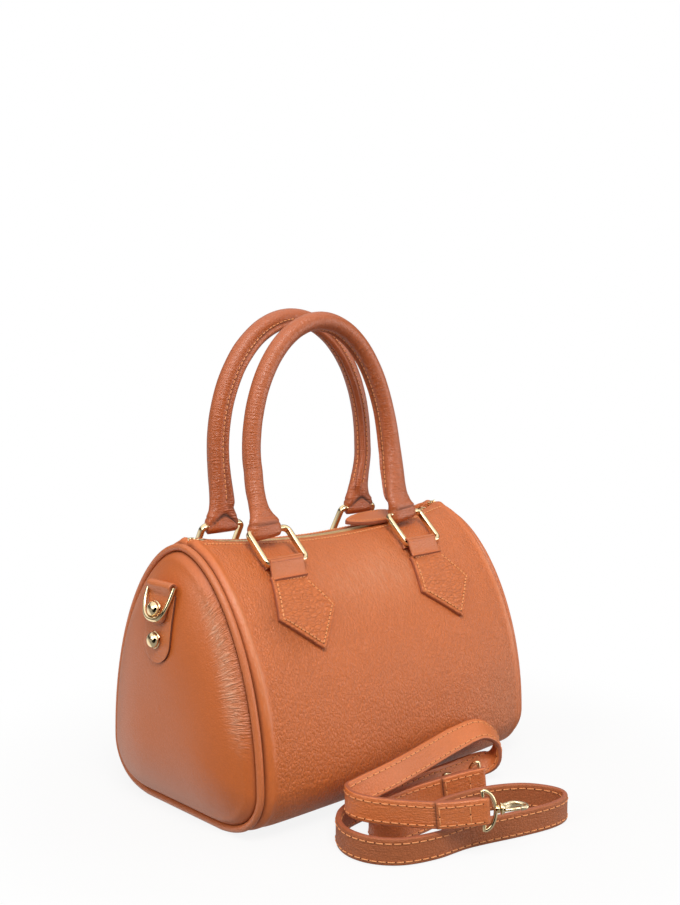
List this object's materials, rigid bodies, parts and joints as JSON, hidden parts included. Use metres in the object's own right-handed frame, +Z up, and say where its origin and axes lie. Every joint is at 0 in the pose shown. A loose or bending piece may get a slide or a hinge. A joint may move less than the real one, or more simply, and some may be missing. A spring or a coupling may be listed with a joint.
{
  "type": "leather bag",
  "caption": "Small barrel-shaped leather handbag with rolled handles on metal rings, top zip, side tabs with rings and a detachable shoulder strap.",
  "frame": {"origin": "middle of the flat base on the ground", "axes": "+Z up, +X along the bag towards the end where the closed zip's slider is, -Y towards the front, where the strap lies"},
  "size_m": [0.32, 0.297, 0.3409],
  "materials": {
    "tan_leather": "pebbled, satin",
    "piping_leather": "smooth, satin",
    "gold_metal": "polished pale gold plating",
    "lining_cloth": "woven",
    "zip_tape": "woven",
    "cord": "twisted cord",
    "board": "matt"
  },
  "bodies": {
    "bag": {"base_board": "board", "body_wrap": "tan_leather", "chape_back_left": "tan_leather", "chape_back_right": "tan_leather", "chape_front_left": "tan_leather", "chape_front_right": "tan_leather", "end_panel_left": "tan_leather", "end_panel_right": "tan_leather", "lining": "lining_cloth", "piping_left": "piping_leather", "piping_right": "piping_leather", "side_tab_left": "tan_leather", "side_tab_right": "tan_leather", "stud_cap_lower_left": "gold_metal", "stud_cap_lower_right": "gold_metal", "stud_cap_upper_left": "gold_metal", "stud_cap_upper_right": "gold_metal", "stud_lower_left": "gold_metal", "stud_lower_right": "gold_metal", "stud_upper_left": "gold_metal", "stud_upper_right": "gold_metal", "zip_stop_left": "gold_metal", "zip_stop_right": "gold_metal", "zip_tape_back": "zip_tape", "zip_tape_front": "zip_tape", "zip_teeth_back": "gold_metal", "zip_teeth_front": "gold_metal"},
    "front_rings": {"ring_front_left": "gold_metal", "ring_front_right": "gold_metal"},
    "back_rings": {"ring_back_left": "gold_metal", "ring_back_right": "gold_metal"},
    "front_handle": {"handle_cover_front": "tan_leather", "handle_core_front": "cord"},
    "back_handle": {"handle_cover_back": "tan_leather", "handle_core_back": "cord"},
    "side_ring_left": {"dee_ring_left": "gold_metal"},
    "side_ring_right": {"dee_ring_right": "gold_metal"},
    "zip_slider": {"zip_slider": "gold_metal"},
    "zip_link": {"zip_pull_link": "gold_metal"},
    "zip_leaf": {"zip_pull_leaf": "tan_leather"},
    "strap": {"shoulder_strap": "tan_leather"},
    "eye_near": {"strap_eye_near": "gold_metal"},
    "hook_near": {"hook_body_near": "gold_metal"},
    "gate_near": {"hook_gate_near": "gold_metal"},
    "eye_far": {"strap_eye_far": "gold_metal"},
    "hook_far": {"hook_body_far": "gold_metal"},
    "gate_far": {"hook_gate_far": "gold_metal"}
  },
  "joints": [
    {"name": "front_ring_hinge", "type": "hinge", "parent": "bag", "child": "front_rings", "pos_m": [0, -0.03811, 0.16863], "axis": [1, 0, 0], "range_deg": [0, 100]},
    {"name": "back_ring_hinge", "type": "hinge", "parent": "bag", "child": "back_rings", "pos_m": [0, 0.04598, 0.16156], "axis": [-1, 0, 0], "range_deg": [0, 95]},
    {"name": "front_handle_hinge", "type": "hinge", "parent": "front_rings", "child": "front_handle", "pos_m": [0, -0.0171, 0.18789], "axis": [1, 0, 0], "range_deg": [-3, 65]},
    {"name": "back_handle_hinge", "type": "hinge", "parent": "back_rings", "child": "back_handle", "pos_m": [0, 0.03217, 0.18649], "axis": [-1, 0, 0], "range_deg": [-3, 55]},
    {"name": "side_ring_left_hinge", "type": "hinge", "parent": "bag", "child": "side_ring_left", "pos_m": [-0.14496, 0, 0.1575], "axis": [0, 1, 0], "range_deg": [0, 130]},
    {"name": "side_ring_right_hinge", "type": "hinge", "parent": "bag", "child": "side_ring_right", "pos_m": [0.14496, 0, 0.1575], "axis": [0, -1, 0], "range_deg": [0, 130]},
    {"name": "zip_travel", "type": "hinge", "parent": "bag", "child": "zip_slider", "pos_m": [0, 0, 0.9265], "axis": [0, 1, 0], "range_deg": [0, 15.04]},
    {"name": "zip_link_hinge", "type": "hinge", "parent": "zip_slider", "child": "zip_link", "pos_m": [0.094, 0, 0.18347], "axis": [0, 1, 0], "range_deg": [0, 12]},
    {"name": "zip_leaf_hinge", "type": "hinge", "parent": "zip_link", "child": "zip_leaf", "pos_m": [0.0825, 0, 0.18317], "axis": [0, 1, 0], "range_deg": [0, 12]},
    {"name": "strap_lift", "type": "slide", "parent": "bag", "child": "strap", "axis": [0, 0, 1], "range_m": [0, 0.3]},
    {"name": "eye_near_turn", "type": "hinge", "parent": "strap", "child": "eye_near", "pos_m": [-0.04072, -0.18617, 0.03122], "axis": [-0.0551, 0.0392, 0.9977], "range_deg": [-30, 30]},
    {"name": "hook_near_swivel", "type": "hinge", "parent": "eye_near", "child": "hook_near", "pos_m": [-0.04072, -0.18617, 0.03122], "axis": [0.8131, -0.5781, 0.0676], "continuous": true},
    {"name": "gate_near_spring", "type": "hinge", "parent": "hook_near", "child": "gate_near", "pos_m": [-0.03105, -0.19711, 0.03218], "axis": [-0.0551, 0.0392, 0.9977], "range_deg": [0, 22], "stiffness_Nm_per_rad": 0.004, "springref_deg": -20.05},
    {"name": "eye_far_turn", "type": "hinge", "parent": "strap", "child": "eye_far", "pos_m": [0.03128, -0.12459, 0.01457], "axis": [-0.0901, 0.0462, 0.9949], "range_deg": [-8, 4]},
    {"name": "hook_far_swivel", "type": "hinge", "parent": "eye_far", "child": "hook_far", "pos_m": [0.03128, -0.12459, 0.01457], "axis": [-0.3033, 0.9502, -0.0716], "continuous": true},
    {"name": "gate_far_spring", "type": "hinge", "parent": "hook_far", "child": "gate_far", "pos_m": [0.0301, -0.11003, 0.01379], "axis": [-0.0901, 0.0462, 0.9949], "range_deg": [0, 22], "stiffness_Nm_per_rad": 0.004, "springref_deg": -20.05}
  ]
}
